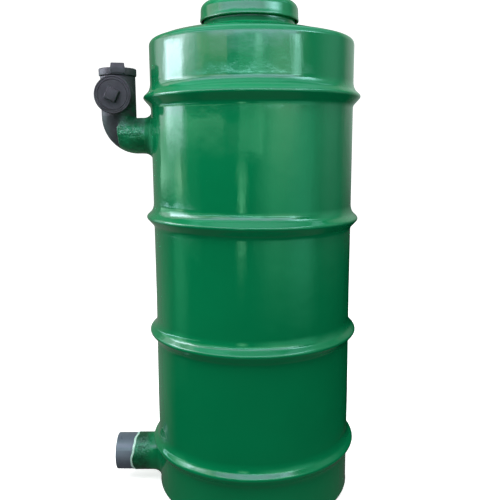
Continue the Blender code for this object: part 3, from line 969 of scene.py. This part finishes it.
# soft light: an even pale room for matt surfaces, and a round light tent whose
# lit patches the gloss reflects.  Each patch is (azimuth from, to, edge),
# (elevation from, to, lower edge, upper edge), (red, green, blue), in degrees
# seen from the tent's middle.  Azimuth 0 is the front, + is to the right.
TENT_R, TENT_Z = 1.67, 1.0
TENT_PATCHES = (
    ((-107.5, -105.1, 40.5), (4.5, 24.1, 8.2, 2.0), (6.66, 6.65, 7.41)),
    ((-116.9, -77.5, 2.0), (-6.4, 1.2, 5.1, 22.2), (1.32, 2.62, 1.91)),
    ((-54.8, -23.7, 2.0), (16.2, 15.6, 10.2, 16.6), (5.62, 5.63, 3.10)),
    ((-43.9, 46.9, 20.4), (20.2, 24.3, 14.0, 2.8), (6.29, 5.90, 8.84)),
    ((42.6, 71.2, 32.4), (26.6, 29.0, 5.9, 28.2), (11.09, 25.00, 23.87)),
    ((34.1, 107.6, 2.5), (52.8, 45.6, 40.0, 8.4), (6.00, 9.97, 11.23)),
    ((-55.7, 49.4, 41.2), (10.1, 11.8, 4.4, 2.0), (6.80, 15.50, 14.80)),
    ((40.1, 49.1, 7.9), (18.1, 18.4, 26.5, 2.5), (10.81, 22.10, 19.83)),
    ((53.3, 51.6, 50.0), (-23.3, 7.0, 20.2, 2.0), (1.48, 6.71, 4.28)),
    ((-13.5, -7.2, 7.6), (-4.7, -6.9, 40.0, 16.2), (5.96, 19.17, 10.54)),
    ((-180.0, 180.0, 2.0), (55.0, 90.0, 32.5, 2.0), (0.89, 1.13, 1.44)),
    ((71.6, 99.4, 49.6), (-8.6, 36.6, 40.0, 2.0), (0.57, 1.25, 0.97)),
    ((2.3, 9.7, 9.0), (20.0, 17.4, 17.1, 2.0), (12.47, 25.00, 21.54)),
    ((114.3, 157.8, 22.2), (-1.9, 44.0, 40.0, 39.7), (0.55, 0.71, 0.62)),
    ((-180.0, -103.4, 30.6), (-51.7, 46.7, 22.4, 5.0), (0.22, 0.26, 0.22)),
    ((-108.4, -74.5, 46.9), (-13.0, -10.0, 2.2, 2.0), (5.34, 9.21, 9.94)),
    ((-88.0, -61.5, 39.6), (13.5, 24.1, 12.6, 2.0), (10.06, 10.67, 12.00)),
    ((-76.7, -22.4, 2.0), (18.3, 48.2, 2.0, 2.0), (0.02, 0.00, 0.04)),
    ((-83.4, -76.3, 17.2), (-0.4, -4.3, 23.6, 12.3), (17.07, 25.00, 17.43)),
    ((-100.4, -72.6, 9.6), (5.8, 18.2, 17.7, 2.0), (9.00, 11.54, 12.76)),
    ((-74.1, -90.5, 50.0), (-29.5, -5.8, 25.2, 2.4), (2.94, 13.39, 7.36)),
    ((26.8, 20.3, 2.0), (8.7, 18.6, 2.0, 2.0), (0.87, 1.29, 1.52)),
    ((20.9, 28.7, 50.0), (-20.3, 14.5, 22.0, 25.8), (0.99, 4.51, 2.48)),
    ((-93.6, 36.2, 19.5), (29.0, 51.8, 10.5, 4.4), (0.77, 1.76, 1.63)),
    ((-18.5, 43.0, 2.0), (17.5, 25.9, 6.3, 5.5), (0.19, 0.86, 1.22)),
    ((-12.9, 10.9, 4.5), (-0.3, 21.4, 2.0, 2.0), (0.34, 1.26, 0.69)),
    ((-105.7, -27.2, 9.5), (7.7, 5.9, 19.6, 2.0), (2.84, 7.13, 4.32)),
    ((21.9, 42.8, 47.2), (0.5, 21.5, 21.9, 13.2), (1.73, 2.16, 1.61)),
    ((-73.2, -56.1, 10.9), (-16.9, 17.7, 2.3, 13.1), (0.08, 0.35, 0.19)),
    ((-24.4, 10.4, 2.0), (0.6, 4.9, 3.8, 2.0), (0.26, 0.54, 0.38)),
    ((-72.0, 66.0, 14.0), (25.5, 33.5, 1.2, 3.0), (2.20, 1.20, 2.50)),
    ((-112.0, -66.0, 14.0), (25.5, 33.5, 1.2, 3.0), (1.80, 1.30, 1.60)),
    ((-60.0, 26.0, 20.0), (25.5, 33.5, 1.2, 3.0), (0.90, 0.80, 1.60)),
    ((-180.0, 180.0, 2.0), (-90.0, -52.0, 2.0, 9.0), (0.08, 0.06, 0.07)),
)
world = bpy.data.worlds.new("studio")
bpy.context.scene.world = world
sky = Nodes("studio", owner=world)
room = sky.tree.nodes["Background"]
room.inputs["Color"].default_value = (0.97, 1.0, 0.99, 1.0)
room.inputs["Strength"].default_value = 0.43

sky = Nodes("light_tent")
toward = sky.new("ShaderNodeVectorMath", operation="NORMALIZE")
sky.link(sky.coord, toward.inputs[0])
split = sky.new("ShaderNodeSeparateXYZ")
sky.link(toward.outputs[0], split.inputs["Vector"])
azimuth = sky.math("MULTIPLY", sky.math("ARCTAN2", split.outputs["X"], sky.math(
    "MULTIPLY", split.outputs["Y"], -1.0)), 180 / math.pi)
elevation = sky.math("MULTIPLY", sky.math("ARCSINE", split.outputs["Z"]), 180 / math.pi)


def window(value, low, high, low_edge, high_edge):
    """1 between low and high, with a soft edge at each end."""
    rise = sky.ramp(value, ((low - low_edge / 2, 0.0), (low + low_edge / 2, 1.0)), "S")
    fall = sky.ramp(value, ((high - high_edge / 2, 1.0), (high + high_edge / 2, 0.0)), "S")
    return sky.math("MULTIPLY", rise, fall)


total = None
for (a0, a1, soft), (e0, e1, low_edge, high_edge), tint in TENT_PATCHES:
    amount = sky.math("MULTIPLY", window(azimuth, a0, a1, soft, soft),
                      window(elevation, e0, e1, low_edge, high_edge))
    vector = sky.new("ShaderNodeVectorMath", operation="SCALE")
    vector.inputs[0].default_value = tint
    sky.link(amount, vector.inputs["Scale"])
    if total is None:
        total = vector.outputs[0]
    else:
        add = sky.new("ShaderNodeVectorMath", operation="ADD")
        sky.link(total, add.inputs[0])
        sky.link(vector.outputs[0], add.inputs[1])
        total = add.outputs[0]
glow = sky.new("ShaderNodeEmission")
sky.link(total, glow.inputs["Color"])
sky.tree.nodes.remove(sky.bsdf)
sky.link(glow.outputs[0], sky.tree.nodes["Material Output"].inputs["Surface"])
sky.mat.cycles.emission_sampling = "NONE"
ball = bmesh.new()
bmesh.ops.create_uvsphere(ball, u_segments=96, v_segments=48, radius=TENT_R)
mesh = bpy.data.meshes.new("light_tent")
ball.to_mesh(mesh)
ball.free()
tent = bpy.data.objects.new("light_tent", mesh)
bpy.context.scene.collection.objects.link(tent)
tent.location = (0.0, 0.0, TENT_Z)
tent.data.materials.append(sky.mat)
tent.visible_camera = False
tent.visible_diffuse = False
tent.visible_transmission = False
tent.visible_volume_scatter = False
tent.visible_shadow = False


def panel(name, place, target, size, power, colour=(1, 1, 1)):
    light = bpy.data.lights.new(name, "AREA")
    light.shape = "RECTANGLE"
    light.size, light.size_y = size
    light.energy = power
    light.color = colour
    obj = bpy.data.objects.new(name, light)
    bpy.context.scene.collection.objects.link(obj)
    obj.location = place
    obj.rotation_euler = (Vector(target) - Vector(place)).to_track_quat(
        "-Z", "Z").to_euler()
    obj.visible_glossy = False
    return obj


mid = (0.0, 0.0, 0.9)
panel("soft_top", (-0.2, -1.1, 3.3), mid, (2.6, 2.2), 88, (1.0, 1.0, 0.99))
panel("soft_left", (-2.6, -0.2, 2.2), mid, (1.2, 1.8), 32, (0.95, 1.0, 1.0))
panel("soft_front", (0.15, -1.35, 1.95), (0.0, 0.0, 1.15), (1.8, 0.5), 3.9, (1.0, 1.0, 1.0))
panel("soft_back", (0.6, 2.6, 3.4), mid, (2.4, 2.0), 37, (1.0, 1.0, 1.0))

# ---------------------------------------------------------------------- camera
camera = bpy.data.cameras.new("camera")
camera.sensor_width = 36.0
camera.lens = 44.33
eye = bpy.data.objects.new("camera", camera)
bpy.context.scene.collection.objects.link(eye)
eye.matrix_world = (Matrix.Translation((0.0, -1.7981, 1.0280))
                    @ Matrix.Rotation(math.radians(0.225), 4, "Z")
                    @ Matrix.Rotation(math.radians(90 - 9.753), 4, "X")
                    @ Matrix.Rotation(math.radians(-0.249), 4, "Z"))
camera.clip_start, camera.clip_end = 0.05, 50.0
bpy.context.scene.camera = eye
bpy.context.scene.view_settings.view_transform = "Standard"
